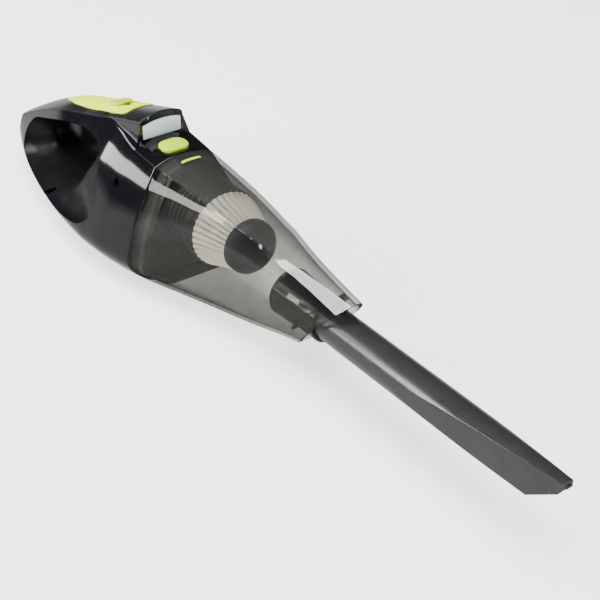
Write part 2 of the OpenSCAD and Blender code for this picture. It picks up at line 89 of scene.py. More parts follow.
PLEAT_FRONT = 17.35  # outer radius of the paper where it meets the cap
DUCT_BORE = 13.75  # radius of the bin's bore round the duct
VENTS = 9
VENT_PITCH = 5.4
VENT_Y = 31.0
BUTTON_GAP = 0.35

# Guide lines along X, each a list of (x, value)
EDGE_HALF = ((-40, 15), (0, 15), (24, 18.6), (45, 20.6), (70, 20.2), (98, 18.7), (131, 17),
             (178, 12.8), (225, 10), (251, 8.6))
EDGE_HEIGHT = ((-154, 27.6), (-150, 29.6), (-140, 35.6), (-128, 42.6), (-98, 57), (-66, 70.2),
               (-35, 79.6), (0, 90), (24, 89.4), (45, 85.9), (70, 83.4), (98, 82.3), (131, 79.9),
               (178, 75.2), (225, 71), (251, 68.3))
LAMP_HEIGHT = ((-20, 84.2), (0, 90.2), (20, 96.2), (46, 103.9))
LAMP_CROWN = 3.5
CROWN_RISE = ((-154, 0.4), (-140, 1.4), (-120, 2.4), (-95, 3.5), (10, 3.5), (45, 4.6), (70, 4.5),
              (120, 3), (251, 1))
FRONT_HALF = ((17, 51), (40, 50), (70, 45.5), (101, 36.2), (132, 27.2), (171, 17.6), (206, 10),
              (251, 4))
BELT_HEIGHT = ((-154, 27.2), (-140, 24), (-120, 21), (-95, 19.5), (150, 19.5), (206, 23.5),
               (251, 27))
BELLY_HEIGHT = ((-154, 26.5), (-140, 17), (-124, 10.5), (-100, 4.6), (-76, 1.5), (55, 1.5),
                (72, 2), (101, 4.6), (139, 10.5), (176, 17.5), (206, 23.2), (251, 26.5))
SIDE_BULGE = ((-154, 0.3), (-120, 1.5), (-40, 3), (45, 3), (70, 3.8), (101, 5.5), (131, 6.5),
              (170, 7), (206, 8), (251, 9.5))

# Finger hole: circles (x, z, radius) of its outline, by half-width from the middle plane out
HOLE = ((0, ((-88, 38, 12.5), (-62, 42, 16.5), (-43, 44.5, 17.5))),
        (8, ((-88, 38, 12.5), (-62, 42, 16.5), (-43, 44.5, 17.5))),
        (22, ((-97, 37, 15.5), (-48, 46, 22), (-30, 66, 9), (-2, 71, 6.5))),
        (40, ((-97, 36, 16), (-70, 42.5, 23.5), (-30, 48, 28.5), (-2, 51, 27))),
        (56, ((-97, 36, 16), (-70, 42.5, 23.5), (-30, 48, 28.5), (-2, 51, 27))))
HOLE_MIDDLE = (-52.0, 44.0)
HOLE_LINER = 2.5
GRIP_OUTLINE = ((-75.5, 0, 4.5), (-55, 0, 9.4), (-20, -8, 4), (-20, 8, 4), (14, -7.4, 4),
                (14, 7.4, 4))

CREASE_ROUND = 1.8
BELT_ROUND = 7.0
CORNER_POINTS = 4
NEAR_SKIN = 0.08  # mm from a skin within which a face counts as lying on it
SLIVER = 0.02  # mm2: faces below this take their normals from the surface that they lie on
FLOOR_GLOW = 1.4  # the floor is a lit panel, as under a product on white
FLOOR_REACH = 4000  # half-side of the floor
ROOM_LEVEL = 0.04  # brightness of the room above the horizon, seen in reflections
FLOOR_LEVEL = 1.1  # brightness that reflections find below the horizon
STAGE_MIDDLE = (0.10, 0.0, 0.06)  # metres: what the side lights aim at
LIGHT_AWAY = 1.3  # metres from there to each side light


# ---------------------------------------------------------------- curves and sections

def guide(table, x):
    """Smooth cubic through a guide line's points; the values may be arrays."""
    last = len(table) - 1
    i = 0
    while i < last - 1 and x > table[i + 1][0]:
        i += 1

    def slope(k):
        low, high = table[max(k - 1, 0)], table[min(k + 1, last)]
        return (high[1] - low[1]) / (high[0] - low[0])

    h = table[i + 1][0] - table[i][0]
    s = (x - table[i][0]) / h
    return ((2 * s**3 - 3 * s**2 + 1) * table[i][1] + (s**3 - 2 * s**2 + s) * h * slope(i)
            + (3 * s**2 - 2 * s**3) * table[i + 1][1] + (s**3 - s**2) * h * slope(i + 1))


def belt_half(x):
    """Half-width at the belt line: a rounded teardrop behind BELT_X, a guide line ahead of it."""
    if x < BELT_X:
        return BELT_HALF * (1 - ((BELT_X - x) / (BELT_X - TAIL_X + 1)) ** 1.6) ** 0.63
    spare = BELT_HALF - FRONT_HALF[0][1]
    return guide(FRONT_HALF, x) + spare * max(0, 1 - (x - BELT_X) / 60)


def joined(runs):
    """Points along runs of (curve, count, radius), with the corner after each run rounded."""
    lengths = []
    for curve, _, _ in runs:
        steps = np.diff(curve(np.linspace(0, 1, 9)), axis=0)
        lengths.append(max(np.linalg.norm(steps, axis=1).sum(), 1e-3))
    radii = [min(runs[k][2], 0.45 * lengths[k], 0.45 * lengths[k + 1])
             for k in range(len(runs) - 1)]
    points = []
    for k, (curve, count, _) in enumerate(runs):
        start = radii[k - 1] / lengths[k] if k else 0.0
        end = 1 - radii[k] / lengths[k] if k < len(radii) else 1.0
        points.append(curve(np.linspace(start, end, count)))
        if k < len(radii):
            before = points[-1][-1]
            corner = curve(np.array([1.0]))[0]
            after = runs[k + 1][0](np.array([radii[k] / lengths[k + 1]]))[0]
            u = np.linspace(0, 1, CORNER_POINTS + 2)[1:-1, None]
            points.append((1 - u) ** 2 * before + 2 * u * (1 - u) * corner + u * u * after)
    return np.vstack(points)


def pairs(y, z):
    return np.stack([y + 0 * z, z + 0 * y], axis=1)


def half_section(x, inset=0.0, lamp=False, lamp_inset=0.0):
    """Half of the body's section at x, from the top's middle to the belly's, as (y, z)."""
    wide = max(belt_half(x) - 1.15 * inset, 0.2)
    edge = min(GRIP_HALF if x < 0 else guide(EDGE_HALF, x), 0.78 * belt_half(x)) - 0.9 * inset
    edge_z = guide(EDGE_HEIGHT, x) - inset
    belt_z = guide(BELT_HEIGHT, x)
    belly = min(guide(BELLY_HEIGHT, x) + inset, belt_z - 0.1)
    crown = guide(CROWN_RISE, x)
    bulge = guide(SIDE_BULGE, x)
    turn = max(wide - UNDER_SLOPE * (belt_z - belly), 0.3 * wide)
    step = edge - min(0.4, 0.15 * edge)

    def deck(y):
        return edge_z + crown * (1 - (y / edge) ** 2)

    def side(t):
        return pairs(edge + (wide - edge) * t + 4 * bulge * t * (1 - t),
                     edge_z + (belt_z - edge_z) * t)

    def under(t):
        return pairs((1 - t) ** 2 * wide + 2 * t * (1 - t) * turn + t * t * 0.7 * turn,
                     (1 - t) ** 2 * belt_z + 2 * t * (1 - t) * belly + t * t * belly)

    if lamp and x > 0:
        step = min(GRIP_HALF + 0.75 * x / LAMP_X - inset - lamp_inset, step)
        top_z = guide(LAMP_HEIGHT, x) - inset - lamp_inset
        top = [(lambda t: pairs(step * t, top_z + LAMP_CROWN * (1 - t * t)), 14, 2.2),
               (lambda t: pairs(step + 0 * t, top_z + (deck(step) - top_z) * t), 8, 3.5)]
        ledge = step
    else:
        ledge = (step + edge) / 2
        top = [(lambda t: pairs(step * t, deck(step * t)), 14, 0.1),
               (lambda t: pairs(step + (ledge - step) * t, deck(step + (ledge - step) * t)), 8, 0.1)]
    crease = CREASE_ROUND + 0.8 * min(1.0, max(0.0, 1 - x / 20))
    return joined(top + [
        (lambda t: pairs(ledge + (edge - ledge) * t, deck(ledge + (edge - ledge) * t)), 5, crease),
        (side, 24, BELT_ROUND),
        (under, 14, 0.1),
        (lambda t: pairs(0.7 * turn * (1 - t), belly + 0 * t), 6, 0)])


def ring_at(x, half):
    """Closed ring of points at x from the half section: down the right side, up the left."""
    right = np.column_stack([np.full(len(half), x), -half[:, 0], half[:, 1]])
    left = right[-2:0:-1] * (1, -1, 1)
    return np.vstack([right, left])


def body_rings(stations, inset=0.0, lamp=False):
    """Rings of the body; a station may be (x, extra inset), on the lamp alone if it's there."""
    rings = []
    for s in stations:
        x, extra = s if isinstance(s, tuple) else (s, 0.0)
        half = half_section(x, inset, lamp, extra) if lamp else half_section(x, inset + extra)
        rings.append(ring_at(x, half))
    return rings


def tail_rings(first):
    """Rings that close a tail end as a low dome behind the first ring."""
    middle = first.mean(axis=0)
    made = []
    for back, share in ((0.55, 0.45), (0.5, 0.75), (0.3, 0.93)):
        ring = middle + (first - middle) * share
        ring[:, 0] = first[0, 0] - back
        made.append(ring)
    return made


def spaced(start, end, step):
    return list(np.linspace(start, end, max(2, int(round(abs(end - start) / step)) + 1)))


def hull_radius(circles, middle, count, grow=0.0):
    """Distance from middle to the hull of circles (x, z, r), in count directions."""
    spin = np.linspace(0, 2 * np.pi, 720, endpoint=False)
    normals = np.column_stack([np.cos(spin), np.sin(spin)])
    reach = np.max([normals @ (np.array(c[:2]) - middle) + c[2] + grow for c in circles], axis=0)
    turn = np.linspace(0, 2 * np.pi, count, endpoint=False)
    ways = np.column_stack([np.cos(turn), np.sin(turn)])
    facing = ways @ normals.T
    with np.errstate(divide="ignore"):
        return np.where(facing > 1e-3, reach / np.maximum(facing, 1e-3), np.inf).min(axis=1), ways


def hull_outline(circles, middle, count, grow=0.0):
    radius, ways = hull_radius(circles, np.array(middle), count, grow)
    return np.array(middle) + ways * radius[:, None]


def hole_rings(grow=0.0, count=120, step=1.5):
    """Rings of the finger hole's smooth flared wall, from the right side to the left."""
    middle = np.array(HOLE_MIDDLE)
    table = [(y, hull_outline(c, middle, count, grow)) for y, c in HOLE]
    table = [(-y, v) for y, v in table[:0:-1]] + table
    rings = []
    for y in spaced(-55.0, 55.0, step):
        xz = guide(table, y)
        rings.append(np.column_stack([xz[:, 0], np.full(count, y), xz[:, 1]]))
    return rings


# ---------------------------------------------------------------- meshes

def new_mesh(name, points, faces):
    """Object from points in millimetres, with its faces turned outward."""
    mesh = bpy.data.meshes.new(name)
    mesh.from_pydata((np.asarray(points, float) * MM).tolist(), [], faces)
    work = bmesh.new()
    work.from_mesh(mesh)
    bmesh.ops.recalc_face_normals(work, faces=work.faces)
    work.to_mesh(mesh)
    work.free()
    obj = bpy.data.objects.new(name, mesh)
    bpy.context.scene.collection.objects.link(obj)
    return obj


def grid_faces(rows, columns, wrap_rows=False):
    faces = []
    for i in range(rows if wrap_rows else rows - 1):
        for j in range(columns):
            a, b = i * columns, (i + 1) % rows * columns
            k = (j + 1) % columns
            faces.append((a + j, a + k, b + k, b + j))
    return faces


def loft(name, rings):
    """Closed solid through rings of equal length."""
    rows, columns = len(rings), len(rings[0])
    faces = grid_faces(rows, columns)
    faces.append(tuple(range(columns)))
    faces.append(tuple((rows - 1) * columns + j for j in range(columns)))
    return new_mesh(name, np.vstack(rings), faces)


def extruded(name, outline, low, high, axis):
    """Prism of an outline drawn across the axis ('x': y,z; 'y': x,z; 'z': x,y)."""
    place = {"x": (1, 2, 0), "y": (0, 2, 1), "z": (0, 1, 2)}[axis]
    rings = []
    for level in (low, high):
        ring = np.empty((len(outline), 3))
        ring[:, place[0]] = [p[0] for p in outline]
        ring[:, place[1]] = [p[1] for p in outline]
        ring[:, place[2]] = level
        rings.append(ring)
    return loft(name, rings)


def block(name, low, high):
    return extruded(name, [(low[0], low[1]), (high[0], low[1]), (high[0], high[1]),
                           (low[0], high[1])], low[2], high[2], "z")


def rounded(outline, radius, steps=5):
    """Outline with each corner cut by a curve that starts radius before it."""
    points = np.asarray(outline, float)
    out = []
    for i, corner in enumerate(points):
        before, after = points[i - 1] - corner, points[(i + 1) % len(points)] - corner
        reach = [min(radius, 0.45 * np.linalg.norm(v)) for v in (before, after)]
        a = corner + before / np.linalg.norm(before) * reach[0]
        b = corner + after / np.linalg.norm(after) * reach[1]
        for u in np.linspace(0, 1, steps):
            out.append((1 - u) ** 2 * a + 2 * u * (1 - u) * corner + u * u * b)
    return np.array(out)


def lathe(name, profile, height, radius=0.5, count=128):
    """Ring-shaped solid turned about a line along X: the profile is (r, x), its corners rounded."""
    line = rounded(profile, radius)
    turn = np.linspace(0, 2 * np.pi, count, endpoint=False)
    rings = []
    for r, x in line:
        r = max(r, 0.01)
        rings.append(np.column_stack([np.full(count, x), r * np.cos(turn),
                                      height + r * np.sin(turn)]))
    return new_mesh(name, np.vstack(rings), grid_faces(len(rings), count, wrap_rows=True))


def round_bar(name, start, end, radius, count=48):
    """Plain round cutter from start to end."""
    start, end = np.array(start, float), np.array(end, float)
    along = Vector(end - start).normalized()
    across = along.orthogonal().normalized()
    other = along.cross(across)
    turn = np.linspace(0, 2 * np.pi, count, endpoint=False)[:, None]
    circle = radius * (np.cos(turn) * np.array(across) + np.sin(turn) * np.array(other))
    return loft(name, [start + circle, end + circle])


def remove(obj):
    mesh = obj.data
    bpy.data.objects.remove(obj)
    bpy.data.meshes.remove(mesh)


def carve(target, tool, how="DIFFERENCE", keep=False):
    """Boolean of target with tool, applied at once."""
    modifier = target.modifiers.new("carve", "BOOLEAN")
    modifier.operation = how
    modifier.solver = "MANIFOLD"
    modifier.object = tool
    graph = bpy.context.evaluated_depsgraph_get()
    mesh = bpy.data.meshes.new_from_object(target.evaluated_get(graph))
    target.modifiers.clear()
    old = target.data
    target.data = mesh
    bpy.data.meshes.remove(old)
    if not keep:
        remove(tool)
    return target


def copy_of(obj, name):
    twin = bpy.data.objects.new(name, obj.data.copy())
    bpy.context.scene.collection.objects.link(twin)
    return twin


class Skin:
    """A smooth surface that gives its exact normals to meshes cut from it."""

    def __init__(self, rings):
        grid = np.array(rings, float) * MM
        rows, columns, _ = grid.shape
        along = np.gradient(grid, axis=0)
        round_ = np.roll(grid, -1, axis=1) - np.roll(grid, 1, axis=1)
        normals = np.cross(along, round_)
        size = np.linalg.norm(normals, axis=2, keepdims=True)
        self.normals = (normals / np.maximum(size, 1e-15)).reshape(-1, 3)
        self.points = grid.reshape(-1, 3)
        self.faces = grid_faces(rows, columns)
        self.tree = BVHTree.FromPolygons(self.points.tolist(), self.faces)

    def normal(self, point):
        place, _, face, distance = self.tree.find_nearest(point)
        corners = self.faces[face]
        shares = poly_3d_calc([Vector(self.points[c]) for c in corners], place)
        return np.array(shares) @ self.normals[list(corners)], distance


def shade(obj, skins):
    """Gives each face that lies on a skin that skin's normals, and leaves the others flat."""
    mesh = obj.data
    normals = np.zeros((len(mesh.loops), 3))
    for face in mesh.polygons:
        flat = np.array(face.normal)
        best = None
        for skin in skins:
            normal, distance = skin.normal(face.center)
            along = abs(normal @ flat) > 0.6 * np.linalg.norm(normal)
            if distance < NEAR_SKIN * MM and (along or face.area < SLIVER * MM * MM):
                best = skin
                break
        for loop in face.loop_indices:
            normal = flat
            if best:
                normal, _ = best.normal(mesh.vertices[mesh.loops[loop].vertex_index].co)
                size = np.linalg.norm(normal)
                normal = normal / size * (1 if normal @ flat > 0 else -1) if size > 1e-6 else flat
            normals[loop] = normal
    mesh.polygons.foreach_set("use_smooth", [True] * len(mesh.polygons))
    mesh.normals_split_custom_set(normals.tolist())
    return obj


def soften(obj, angle=32.0):
    """Smooth shading, with edges sharper than angle kept crisp."""
    obj.data.polygons.foreach_set("use_smooth", [True] * len(obj.data.polygons))
    obj.data.set_sharp_from_angle(angle=math.radians(angle))
    return obj


# ---------------------------------------------------------------- materials

class Nodes:
    """A material's node tree, built by short calls."""

    def __init__(self, name):
        self.material = bpy.data.materials.new(name)
        self.material.use_nodes = True
        self.tree = self.material.node_tree
        self.shader = self.tree.nodes["Principled BSDF"]
        self.place = self.add("ShaderNodeTexCoord").outputs["Object"]

    def add(self, kind, **values):
        node = self.tree.nodes.new(kind)
        for key, value in values.items():
            setattr(node, key, value)
        return node

    def link(self, source, target):
        self.tree.links.new(source, target)

    def noise(self, size_mm, detail=3.0, stretch=(1, 1, 1)):
        """Noise whose features are about size_mm across, as a value from 0 to 1."""
        node = self.add("ShaderNodeTexNoise")
        node.inputs["Scale"].default_value = 1 / (size_mm * MM)
        node.inputs["Detail"].default_value = detail
        place = self.place
        if stretch != (1, 1, 1):
            mapping = self.add("ShaderNodeMapping")
            mapping.inputs["Scale"].default_value = stretch
            self.link(place, mapping.inputs["Vector"])
            place = mapping.outputs["Vector"]
        self.link(place, node.inputs["Vector"])
        return node.outputs["Fac"]

    def ranged(self, source, low, high, low_in=0.3, high_in=0.7):
        node = self.add("ShaderNodeMapRange")
        for key, value in (("From Min", low_in), ("From Max", high_in), ("To Min", low),
                           ("To Max", high)):
            node.inputs[key].default_value = value
        self.link(source, node.inputs["Value"])
        return node.outputs["Result"]

    def math(self, operation, source, value=None, other=None):
        """Arithmetic on one socket and a constant, or on two sockets."""
        node = self.add("ShaderNodeMath", operation=operation)
        self.link(source, node.inputs[0])
        if other:
            self.link(other, node.inputs[1])
        elif value is not None:
            node.inputs[1].default_value = value
        return node.outputs[0]

    def mixed(self, share, first, second):
        node = self.add("ShaderNodeMix", data_type="RGBA")
        self.link(share, node.inputs["Factor"])
        for socket, value in ((node.inputs[6], first), (node.inputs[7], second)):
            if isinstance(value, tuple):
                socket.default_value = (*value, 1)
            else:
                self.link(value, socket)
        return node.outputs[2]

    def bump(self, height, depth_mm, strength=1.0, normal=None):
        node = self.add("ShaderNodeBump")
        node.inputs["Distance"].default_value = depth_mm * MM
        node.inputs["Strength"].default_value = strength
        self.link(height, node.inputs["Height"])
        if normal:
            self.link(normal, node.inputs["Normal"])
        return node.outputs["Normal"]

    def edge(self, radius_mm):
        """Normal rounded over edges, and a mask that is 1 along them."""
        bevel = self.add("ShaderNodeBevel", samples=4)
        bevel.inputs["Radius"].default_value = radius_mm * MM
        own = self.add("ShaderNodeNewGeometry").outputs["Normal"]
        dot = self.add("ShaderNodeVectorMath", operation="DOT_PRODUCT")
        self.link(bevel.outputs["Normal"], dot.inputs[0])
        self.link(own, dot.inputs[1])
        return bevel.outputs["Normal"], self.ranged(dot.outputs["Value"], 1, 0, 0.80, 0.97)


def shaded(colour, by):
    return tuple(min(1.0, c * by) for c in colour)


def plastic(name, colour, rough, grain=0.0, grain_size=0.35, edge=0.45, wear=1.6,
            mottle=0.10, metal=0.0, gloss=0.5, soft=True):
    """Moulded plastic or metal: mottled colour, uneven gloss, moulding grain and worn edges."""
    n = Nodes(name)
    normal, worn = n.edge(edge)
    body = n.mixed(n.ranged(n.noise(14, 5), 0, 1), shaded(colour, 1 - mottle),
                   shaded(colour, 1 + mottle))
    rubbed = n.math("MULTIPLY", worn, other=n.ranged(n.noise(2.5, 4), 0, 1))
    n.link(n.mixed(rubbed, body, shaded(tuple(c + 0.006 for c in colour), wear)),
           n.shader.inputs["Base Color"])
    n.link(n.ranged(n.noise(8, 3), rough * 0.88, rough * 1.15), n.shader.inputs["Roughness"])
    normal = normal if soft else None
    if grain:
        normal = n.bump(n.noise(grain_size, 2), grain, 1.0, normal)
    if normal:
        n.link(normal, n.shader.inputs["Normal"])
    n.shader.inputs["Metallic"].default_value = metal
    n.shader.inputs["Specular IOR Level"].default_value = gloss
    return n.material


def brushed(name, colour, rough, along=(1, 1, 1)):
    """Metal with fine lines along one direction and a little tarnish."""
    n = Nodes(name)
    lines = n.noise(0.5, 4, along)
    n.link(n.mixed(n.ranged(n.noise(6, 5), 0, 1), shaded(colour, 0.8), colour),
           n.shader.inputs["Base Color"])
    n.link(n.ranged(lines, rough * 0.7, rough * 1.4), n.shader.inputs["Roughness"])
    n.link(n.bump(lines, 0.02), n.shader.inputs["Normal"])
    n.shader.inputs["Metallic"].default_value = 1.0
    return n.material


def clear_bin(name, glossy):
    """Smoked clear plastic: tinted, darker seen edge-on, hazy on top, with or without a gloss."""
    n = Nodes(name)
    weight = n.add("ShaderNodeLayerWeight")
    weight.inputs["Blend"].default_value = 0.5
    facing = weight.outputs["Facing"]
    cloud = n.ranged(n.noise(12, 4), 0.97, 1.03)
    axes = n.add("ShaderNodeSeparateXYZ")
    n.link(n.add("ShaderNodeNewGeometry").outputs["Normal"], axes.inputs[0])
    across = n.math("ABSOLUTE", axes.outputs["X"])
    wall = n.mixed(n.ranged(facing, 0, 1, 0.40, 1.0), (0.79, 0.79, 0.765), (0.16, 0.16, 0.155))
    tint = n.mixed(n.ranged(across, 0, 1, 0.62, 0.72), wall, (0.05, 0.05, 0.05))
    mottled = n.add("ShaderNodeVectorMath", operation="SCALE")
    n.link(tint, mottled.inputs[0])
    n.link(cloud, mottled.inputs["Scale"])
    clear = n.add("ShaderNodeBsdfTransparent")
    n.link(mottled.outputs[0], clear.inputs["Color"])
    level = axes.outputs["Z"]
    haze = n.mixed(n.ranged(level, 0, 1, 0.2, 0.5), (0.07, 0.07, 0.07),
                   n.ranged(level, 0.015, 0.10, 0.6, 0.9))
    n.shader.inputs["Base Color"].default_value = (0.16, 0.16, 0.15, 1)
    n.shader.inputs["Specular IOR Level"].default_value = 0.1
    n.link(n.ranged(n.noise(4, 5), 0.5, 0.7), n.shader.inputs["Roughness"])
    hazy = n.add("ShaderNodeMixShader")
    n.link(haze, hazy.inputs[0])
    n.link(clear.outputs[0], hazy.inputs[1])
    n.link(n.shader.outputs[0], hazy.inputs[2])
    surface = n.tree.nodes["Material Output"].inputs["Surface"]
    n.link(hazy.outputs[0], surface)
    if not glossy:
        return n.material
    gloss = n.add("ShaderNodeBsdfGlossy")
    n.link(n.ranged(n.noise(3, 4), 0.02, 0.05), gloss.inputs["Roughness"])
    n.link(n.bump(n.noise(25, 2), 0.03), gloss.inputs["Normal"])
    grazing = n.math("POWER", facing, 5.0)
    shine = n.add("ShaderNodeMixShader")
    inside = n.add("ShaderNodeNewGeometry").outputs["Backfacing"]
    share = n.math("MULTIPLY", n.ranged(grazing, 0.035, 0.18, 0, 1),
                   other=n.ranged(level, 0, 1, 0.24, 0.34))
    n.link(n.mixed(inside, share, (0.0, 0.0, 0.0)), shine.inputs[0])
    n.link(hazy.outputs[0], shine.inputs[1])
    n.link(gloss.outputs[0], shine.inputs[2])
    n.link(shine.outputs[0], surface)
    return n.material


def frosted_lens(name):
    """Milky lens with faint ribs and a little glow of its own."""
    n = Nodes(name)
    ribs = n.noise(0.8, 2, (1, 1, 0.05))
    n.link(n.mixed(n.ranged(n.noise(7, 3), 0, 1), (0.50, 0.60, 0.66), (0.60, 0.69, 0.74)),
           n.shader.inputs["Base Color"])
    n.link(n.ranged(n.noise(0.6, 3), 0.25, 0.4), n.shader.inputs["Roughness"])
    n.link(n.bump(ribs, 0.05), n.shader.inputs["Normal"])
    n.shader.inputs["Subsurface Weight"].default_value = 0.4
    n.shader.inputs["Subsurface Scale"].default_value = 0.003
    n.shader.inputs["Emission Color"].default_value = (0.72, 0.82, 0.88, 1)
    n.shader.inputs["Emission Strength"].default_value = 0.25
    return n.material


def filter_paper(name):
    """Pleated paper: fibres, and painted shade that darkens the valleys between the folds."""
    n = Nodes(name)
    fibre = n.noise(0.25, 5, (0.3, 1, 1))
    axes = n.add("ShaderNodeSeparateXYZ")
    n.link(n.place, axes.inputs[0])
    up = n.math("SUBTRACT", axes.outputs["Z"], MOTOR_Z * MM)
    turn = n.math("ARCTAN2", up, other=axes.outputs["Y"])
    wave = n.math("COSINE", n.math("MULTIPLY", turn, PLEATS))
    # Painted shade: the valleys between the pleats are coloured darker, in patches, as shade falling
    # into the folds.
    valley_shade = n.ranged(wave, 1, 0, -1.0, -0.1)
    patchy_valley_shade = n.math("MULTIPLY", valley_shade, other=n.ranged(n.noise(6, 2), 0.3, 1))
    body = n.mixed(n.ranged(n.noise(3, 6), 0, 1), (0.78, 0.76, 0.66), (0.88, 0.87, 0.78))
    n.link(n.mixed(patchy_valley_shade, body, (0.34, 0.33, 0.28)), n.shader.inputs["Base Color"])
    n.link(n.ranged(n.noise(1, 4), 0.75, 0.95), n.shader.inputs["Roughness"])
    n.link(n.bump(fibre, 0.05), n.shader.inputs["Normal"])
    n.shader.inputs["Sheen Weight"].default_value = 0.2
    return n.material


def floor_material(name):
    """Pale floor that is lit from below, with a faint unevenness."""
    n = Nodes(name)
    n.link(n.mixed(n.ranged(n.noise(400, 3), 0, 1), (0.86, 0.86, 0.86), (0.88, 0.88, 0.88)),
           n.shader.inputs["Base Color"])
    n.link(n.ranged(n.noise(30, 4), 0.65, 0.75), n.shader.inputs["Roughness"])
    n.shader.inputs["Specular IOR Level"].default_value = 0.0
    n.shader.inputs["Emission Color"].default_value = (1, 1, 1, 1)
    n.shader.inputs["Emission Strength"].default_value = FLOOR_GLOW
    return n.material


PIANO = plastic("piano_black", (0.004, 0.004, 0.005), 0.05, grain=0.002, grain_size=12, mottle=0.2,
                gloss=0.35, soft=False)
GRIP_BLACK = plastic("grip_black", (0.004, 0.004, 0.005), 0.34, grain=0.002, grain_size=4,
                     mottle=0.2, gloss=0.2, soft=False)
SATIN = plastic("satin_black", (0.008, 0.008, 0.009), 0.22, grain=0.002, grain_size=4,
                mottle=0.15, gloss=0.4, soft=False)
LIME = plastic("lime_gloss", (0.50, 0.72, 0.0), 0.28, grain=0.004, edge=0.6, wear=1.1,
               mottle=0.05, gloss=0.1)
LIME_SOFT = plastic("lime_soft_touch", (0.72, 0.90, 0.004), 0.5, grain=0.03, grain_size=0.5,
                    edge=0.5, wear=1.1, mottle=0.06, gloss=0.05)
MATT = plastic("inner_black", (0.008, 0.008, 0.009), 0.35, grain=0.01, edge=0.4, gloss=0.3)
DUCT = plastic("duct_black", (0.004, 0.004, 0.005), 0.10, edge=0.4, mottle=0.2, gloss=0.4,
               soft=False)
CHARCOAL = plastic("tool_charcoal", (0.022, 0.022, 0.023), 0.24, grain=0.003, grain_size=3,
                   mottle=0.10, gloss=0.35, soft=False)
SLATE = plastic("filter_cap_slate", (0.012, 0.015, 0.019), 0.38, grain=0.01, edge=0.6, gloss=0.2)
RUBBER = plastic("seal_rubber", (0.030, 0.030, 0.031), 0.7, grain=0.02, edge=0.3, wear=1.2)
WHITE = plastic("white_plastic", (0.72, 0.73, 0.75), 0.4, grain=0.01, wear=0.9)
BOARD = plastic("circuit_board", (0.02, 0.16, 0.07), 0.35, grain=0.02, grain_size=1.2, mottle=0.3)
PHOSPHOR = plastic("led_phosphor", (0.85, 0.80, 0.45), 0.4, mottle=0.1)
WRAP = plastic("cell_wrap", (0.05, 0.20, 0.48), 0.25, grain=0.02, grain_size=3, mottle=0.1)
MIRROR = plastic("reflector_metallised", (0.80, 0.81, 0.83), 0.15, metal=1.0, wear=0.9)
FERRITE = plastic("ferrite", (0.06, 0.06, 0.065), 0.6, grain=0.03, metal=0.3)
CARBON = plastic("carbon_brush", (0.03, 0.03, 0.03), 0.55, grain=0.02)
STEEL = brushed("bright_steel", (0.60, 0.60, 0.61), 0.3, (0.1, 1, 1))
BRONZE = brushed("bronze_copper", (0.62, 0.38, 0.20), 0.38, (1, 1, 0.2))
LAMINATION = brushed("laminations", (0.30, 0.30, 0.31), 0.45, (4, 0.1, 0.1))
CLEAR = clear_bin("bin_clear", True)
CLEAR_INSIDE = clear_bin("bin_clear_inside", False)
LENS = frosted_lens("lens_frosted")
PAPER = filter_paper("filter_paper")

CAD_FINISH = {
    LIME: ("switch_knob",),
    MIRROR: ("lamp_reflector",),
    BOARD: ("led_board", "control_board"),
    PHOSPHOR: ("led_chips",),
    STEEL: ("latch_pin", "latch_spring", "motor_can", "motor_shaft", "housing_screws",
            "base_screws", "cell_straps"),
    MATT: ("motor_mount", "motor_end_cap", "battery_tray", "charging_socket", "switch_body",
           "base_plate", "latch_lever"),
    RUBBER: ("bin_seal",),
    FERRITE: ("motor_magnets",),
    BRONZE: ("motor_bushes", "commutator", "rotor_windings"),
    CARBON: ("motor_brushes",),
    LAMINATION: ("rotor_core",),
    WRAP: ("battery_cells",),
    WHITE: ("impeller",),
}


def finish_cad_nodes():
    for material, names in CAD_FINISH.items():
        for name in names:
            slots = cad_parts[name].material_slots
            for slot in slots:
                slot.material = material


def piece(obj, material, body, slot_name, *nodes):
    """Gives the piece its material and body and hides the CAD nodes that it stands for; slot_name is
    not used.
    """
    obj.data.materials.clear()
    obj.data.materials.append(material)
    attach(obj, body)
    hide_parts(*nodes)
    return obj


def second_material(obj, material, wanted):
    """Gives the faces whose middle is wanted a material of their own."""
    obj.data.materials.append(material)
    for face in obj.data.polygons:
        if wanted(face.center):
            face.material_index = 1


# ---------------------------------------------------------------- the body's shells

TAIL_START = TAIL_X + 1.0
REAR = [TAIL_START + 40 * u * u for u in np.linspace(0, 1, 30)] + spaced(-111, 43, 2.0)
LAMP_END = [44.2, (44.7, 0.08), (45.0, 0.25), (LAMP_X, 0.6)]
DECK_RUN = [LAMP_X + 0.02] + spaced(47, SEAM_X - 1.2, 2.0)
SEAM_ROUND = [(SEAM_X - 0.7, 0.05), (SEAM_X - 0.4, 0.2), (SEAM_X - PARTING, 0.5)]


def outer_body(name, inset=0.0):
    """The whole rear body with the lamp housing on top, and the skins of its smooth parts."""
    rear = body_rings(REAR, inset, lamp=True)
    tail = tail_rings(rear[0])
    rear = tail + rear + body_rings(LAMP_END, inset, lamp=True)
    front = body_rings(DECK_RUN + SEAM_ROUND, inset)
    plain = tail + body_rings(REAR, inset) + front
    return loft(name, rear + front), [Skin(plain), Skin(rear)]


def inner_body(name, inset):
    """The space inside the shells."""
    rear = [-149.0] + spaced(-147, LAMP_X - SHELL, 4.0)
    front = [LAMP_X - SHELL + 0.02] + spaced(46, SEAM_X - 4, 4.0)
    return loft(name, body_rings(rear, inset, lamp=True) + body_rings(front, inset))


def above(name, table, drop, start, end, half=70.0):
    """Cutter of everything above a guide line lowered by drop."""
    xs = spaced(start, end, 2.0)
    outline = [(x, guide(table, x) - drop) for x in xs] + [(end, 160.0), (start, 160.0)]
    return extruded(name, outline, -half, half, "y")


GRIP_LINE = tuple(p for p in EDGE_HEIGHT if p[0] < -20) + tuple(p for p in LAMP_HEIGHT
                                                                  if p[0] > -10)


